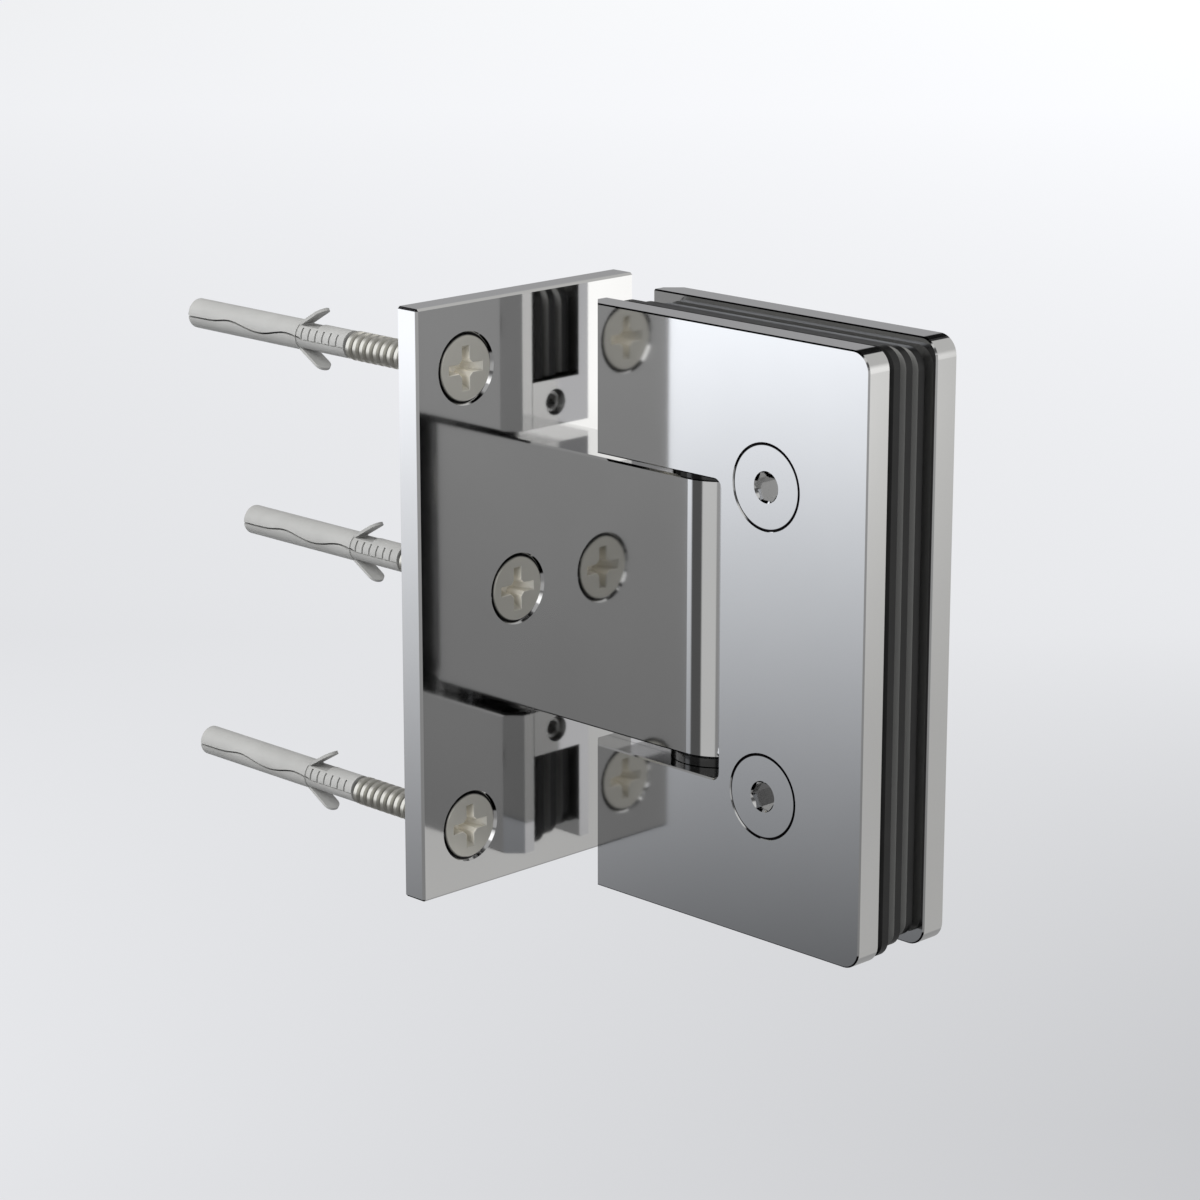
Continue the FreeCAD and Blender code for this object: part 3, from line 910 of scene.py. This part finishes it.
@dataclass(frozen=True)
class StudioLamp:
    """A soft square lamp that points at the object, in metres and watts."""

    name: str
    place: tuple[float, float, float]
    size: float
    power: float

    def build(self) -> None:
        """Make the lamp."""
        data = bpy.data.lights.new(self.name, "AREA")
        data.shape = "SQUARE"
        data.size = self.size
        data.energy = self.power
        lamp = bpy.data.objects.new(self.name, data)
        lamp.location = self.place
        lamp.rotation_euler = (-Vector(self.place)).to_track_quat("-Z", "Y").to_euler()
        lamp.visible_glossy = False
        bpy.context.scene.collection.objects.link(lamp)


@dataclass
class StudioCamera:
    """The camera, at the photograph's place and angle."""

    place: tuple[float, float, float] = (0.396309, -0.372708, 0.142635)
    yaw: float = 45.343
    pitch: float = 14.991
    lens: float = 111.48
    sensor: float = 36.0

    def build(self) -> None:
        """Make the camera."""
        data = bpy.data.cameras.new("product_camera")
        data.sensor_width = self.sensor
        data.sensor_fit = "HORIZONTAL"
        data.lens = self.lens
        data.clip_start = 0.01
        data.clip_end = 60.0
        camera = bpy.data.objects.new("product_camera", data)
        camera.location = self.place
        camera.rotation_euler = (math.radians(90 - self.pitch), 0, math.radians(self.yaw))
        bpy.context.scene.collection.objects.link(camera)
        bpy.context.scene.camera = camera


@dataclass
class StudioFloor:
    """The pale floor: it glows a little, keeps the object's shadow and isn't seen in the metal.

    Its glow follows the depth from the object, on the line of sight, and tilts from side to side. The
    levels are display levels.
    """

    height: float = -0.30
    size: float = 14.0
    depth_range: tuple[float, float] = (0.45, 3.85)
    stops: tuple[tuple[float, float, float, float], ...] = (
        (0.0, 221, 222, 225), (0.2, 237, 238, 241), (0.7, 255, 256, 259), (1.0, 257, 258, 260))
    tilt_depths: tuple[float, float] = (0.5, 1.05)
    tilt_slopes: tuple[float, float] = (-0.8, 0.12)
    tilt_limits: tuple[float, float] = (0.84, 1.16)
    glow_share: float = 0.9
    cloth: Colour = from_screen(165, 166, 168)

    def build(self, yaw: float) -> None:
        """Make the floor.

        Args:
            yaw: The camera's yaw, in degrees, which sets the line of sight.
        """
        half = self.size / 2
        data = bpy.data.meshes.new("pale_floor")
        corners = [(-half, -half, 0), (half, -half, 0), (half, half, 0), (-half, half, 0)]
        data.from_pydata(corners, [], [(0, 1, 2, 3)])
        data.materials.append(self.material(math.radians(yaw)))
        floor = bpy.data.objects.new("pale_floor", data)
        floor.location = (0, 0, self.height)
        floor.visible_glossy = False
        bpy.context.scene.collection.objects.link(floor)

    def material(self, turn: float) -> bpy.types.Material:
        """Return the floor's material: cloth, with a glow for rays that come from the camera.

        Args:
            turn: The camera's yaw, in radians.

        Returns:
            The new material.
        """
        material = bpy.data.materials.new("pale_floor")
        material.use_nodes = True
        shader = Shader(material.node_tree)
        material.node_tree.nodes.remove(material.node_tree.nodes["Principled BSDF"])
        glow = shader.add("ShaderNodeEmission")
        shader.join(self.glow(shader, turn), glow.inputs[0])
        cloth = shader.add("ShaderNodeBsdfDiffuse")
        cloth.inputs[0].default_value = (*self.cloth, 1)
        rays = shader.add("ShaderNodeLightPath")
        seen = shader.math("MAXIMUM", rays.outputs["Is Camera Ray"], rays.outputs["Is Transmission Ray"])
        blend = shader.add("ShaderNodeMixShader")
        shader.join(shader.math("MULTIPLY", seen, self.glow_share), blend.inputs[0])
        shader.join(cloth.outputs[0], blend.inputs[1])
        shader.join(glow.outputs[0], blend.inputs[2])
        shader.join(blend.outputs[0], material.node_tree.nodes["Material Output"].inputs[0])
        return material

    def glow(self, shader: Shader, turn: float) -> bpy.types.NodeSocket:
        """Return the glow's colour over the floor.

        Args:
            shader: The floor's node tree.
            turn: The camera's yaw, in radians.

        Returns:
            The output socket.
        """
        place = shader.add("ShaderNodeSeparateXYZ")
        shader.join(shader.add("ShaderNodeNewGeometry").outputs["Position"], place.inputs[0])
        depth = self.along(shader, place, -math.sin(turn), math.cos(turn))
        side = self.along(shader, place, math.cos(turn), math.sin(turn))
        ramp = shader.add("ShaderNodeValToRGB")
        shader.join(shader.span(depth, *self.depth_range, 0.0, 1.0), ramp.inputs[0])
        while len(ramp.color_ramp.elements) < len(self.stops):
            ramp.color_ramp.elements.new(0.5)
        for element, (position, *level) in zip(ramp.color_ramp.elements, self.stops):
            element.position = position
            element.color = (*from_screen(*level), 1)
        slope = shader.span(depth, *self.tilt_depths, *self.tilt_slopes)
        tilt = shader.math("MULTIPLY_ADD", side, slope, 1.0)
        pool = shader.add("ShaderNodeVectorMath", operation="SCALE")
        shader.join(ramp.outputs[0], pool.inputs[0])
        shader.join(shader.span(tilt, *self.tilt_limits, *self.tilt_limits), pool.inputs["Scale"])
        return pool.outputs[0]

    def along(self, shader: Shader, place: bpy.types.Node, east: float, north: float) -> bpy.types.NodeSocket:
        """Return how far a place lies along a level direction."""
        first = shader.math("MULTIPLY", place.outputs[0], east)
        return shader.math("ADD", first, shader.math("MULTIPLY", place.outputs[1], north))


@dataclass
class Studio:
    """The pale floor, the soft light, the panels that polished metal reflects, and the camera."""

    floor: StudioFloor = field(default_factory=StudioFloor)
    camera: StudioCamera = field(default_factory=StudioCamera)
    lamps: tuple[StudioLamp, ...] = (
        StudioLamp("key_lamp", (-0.25, -0.75, 0.75), 0.6, 8.0),
        StudioLamp("side_lamp", (0.35, -0.95, 0.2), 0.3, 2.0),
        StudioLamp("fill_lamp", (0.9, 0.5, 0.5), 0.7, 2.5),
    )
    even_light: Colour = (0.62, 0.62, 0.62)
    backdrop: Colour = from_screen(250, 251, 253)
    zenith: Colour = (0.75, 0.75, 0.76)
    zenith_heights: tuple[float, float] = (0.93, 0.98)
    gap: Colour = from_screen(74, 74, 74)
    card_edge: float = 0.03
    display_power: float = 2.2
    cards: tuple[StudioCard, ...] = (
        StudioCard(2.0, 24.0, 4.0, -0.15, -0.32, 90.0, 10.0),
        StudioCard(334.0, 16.0, 3.0, 0.2, 0.1, 255.0, 120.0, top=0.57, foot=0.1),
        StudioCard(334.0, 16.0, 3.0, 1.0, 0.6, 127.0, 127.0, bounces=2, foot=0.57),
        StudioCard(211.5, 28.5, 3.0, -0.179, -0.416, 255.0, 40.0, (0.972, 1.0, 1.05)),
        StudioCard(204.0, 20.0, 3.0, -0.192, -0.429, 255.0, 40.0, (0.98, 1.0, 1.04)),
        StudioCard(288.5, 19.0, 3.0, -0.19, -0.34, 184.0, 168.0, (1.0, 1.0, 0.99)),
        StudioCard(322.0, 14.0, 2.0, -0.187, -0.32, 127.0, 100.0, bounces=2, top=0.1),
        StudioCard(60.0, 40.0, 4.0, -0.2, -0.29, 172.0, 163.0, (1.0, 0.995, 0.975)),
        StudioCard(30.0, 18.0, 3.5, -0.205, -0.29, 252.0, 167.0, (1.0, 0.995, 0.98)),
        StudioCard(135.0, 38.0, 6.0, 0.12, -0.2, 140.0, 201.0, (0.98, 0.98, 1.0)),
        StudioCard(105.0, 35.0, 4.0, -0.3, -0.45, 165.0, 138.0, top=-0.33),
        StudioCard(275.0, 135.0, 3.0, -0.5, -0.6, 8.0, 8.0, top=-0.59),
        StudioCard(177.5, 82.5, 3.0, 1.0, 0.5, 8.0, 8.0, foot=0.62),
        StudioCard(127.0, 23.0, 4.0, 1.0, 0.5, 26.0, 26.0, foot=0.34),
        StudioCard(357.5, 97.5, 3.0, 1.0, 0.5, 8.0, 8.0, foot=0.8),
    )

    def build(self) -> None:
        """Set up the floor, world, lamps, camera and view."""
        self.floor.build(self.camera.yaw)
        self.make_world()
        for lamp in self.lamps:
            lamp.build()
        self.camera.build()
        bpy.context.scene.view_settings.view_transform = "Standard"

    def make_world(self) -> None:
        """Make the surroundings: pale and even for plain surfaces, soft panels for polished metal."""
        world = bpy.data.worlds.new("studio")
        bpy.context.scene.world = world
        world.use_nodes = True
        shader = Shader(world.node_tree)
        direction = shader.add("ShaderNodeTexCoord").outputs["Generated"]
        parts = shader.add("ShaderNodeSeparateXYZ")
        shader.join(direction, parts.inputs[0])
        flat = shader.add("ShaderNodeCombineXYZ")
        shader.join(parts.outputs[0], flat.inputs[0])
        shader.join(parts.outputs[1], flat.inputs[1])
        level = shader.add("ShaderNodeVectorMath", operation="NORMALIZE")
        shader.join(flat.outputs[0], level.inputs[0])
        height = parts.outputs[2]
        seen = (*(value / CHROME_SHARE for value in self.gap), 1)
        for card in self.cards:
            seen = self.add_card(shader, card, level.outputs[0], height, seen)
        overhead = shader.span(height, *self.zenith_heights, 0.0, 1.0, smooth=True)
        seen = shader.mix(overhead, seen, (*self.zenith, 1))
        rays = shader.add("ShaderNodeLightPath")
        colour = shader.mix(rays.outputs["Is Glossy Ray"], (*self.even_light, 1), seen)
        colour = shader.mix(rays.outputs["Is Camera Ray"], colour, (*self.backdrop, 1))
        background = world.node_tree.nodes["Background"]
        shader.join(colour, background.inputs[0])

    def add_card(self, shader: Shader, card: StudioCard, level: bpy.types.NodeSocket,
                 height: bpy.types.NodeSocket, behind: object) -> bpy.types.NodeSocket:
        """Lay one panel over what is seen behind it.

        Args:
            shader: The world's node tree.
            card: The panel.
            level: The direction without its height.
            height: The sine of the elevation.
            behind: The colour behind the panel.

        Returns:
            The colour with the panel in it.
        """
        turn = math.radians(card.azimuth)
        toward = shader.add("ShaderNodeVectorMath", operation="DOT_PRODUCT")
        shader.join(level, toward.inputs[0])
        toward.inputs[1].default_value = (math.cos(turn), math.sin(turn), 0)
        outer = math.cos(math.radians(card.half_width + card.softness))
        inner = math.cos(math.radians(card.half_width - card.softness))
        mask = shader.span(toward.outputs["Value"], outer, inner, 0.0, 1.0, smooth=True)
        shade = shader.span(height, card.lower_height, card.upper_height, card.lower_level / 255,
                            card.upper_level / 255)
        if card.top < 1.0:
            under = shader.span(height, card.top - self.card_edge, card.top + self.card_edge, 1.0, 0.0)
            mask = shader.math("MULTIPLY", mask, under)
        if card.foot > -1.0:
            over = shader.span(height, card.foot - self.card_edge, card.foot + self.card_edge, 0.0, 1.0)
            mask = shader.math("MULTIPLY", mask, over)
        light = shader.math("POWER", shade, self.display_power)
        glow = shader.math("DIVIDE", light, CHROME_SHARE ** card.bounces)
        colour = shader.add("ShaderNodeVectorMath", operation="SCALE")
        colour.inputs[0].default_value = card.tint
        shader.join(glow, colour.inputs["Scale"])
        return shader.mix(mask, behind, colour.outputs[0])


def main() -> None:
    """Build the dressed hinge and its studio."""
    WallSide().build()
    WallScrews().build()
    Pivot().build()
    GlassClamp().build()
    Studio().build()


if __name__ == "__main__":
    main()
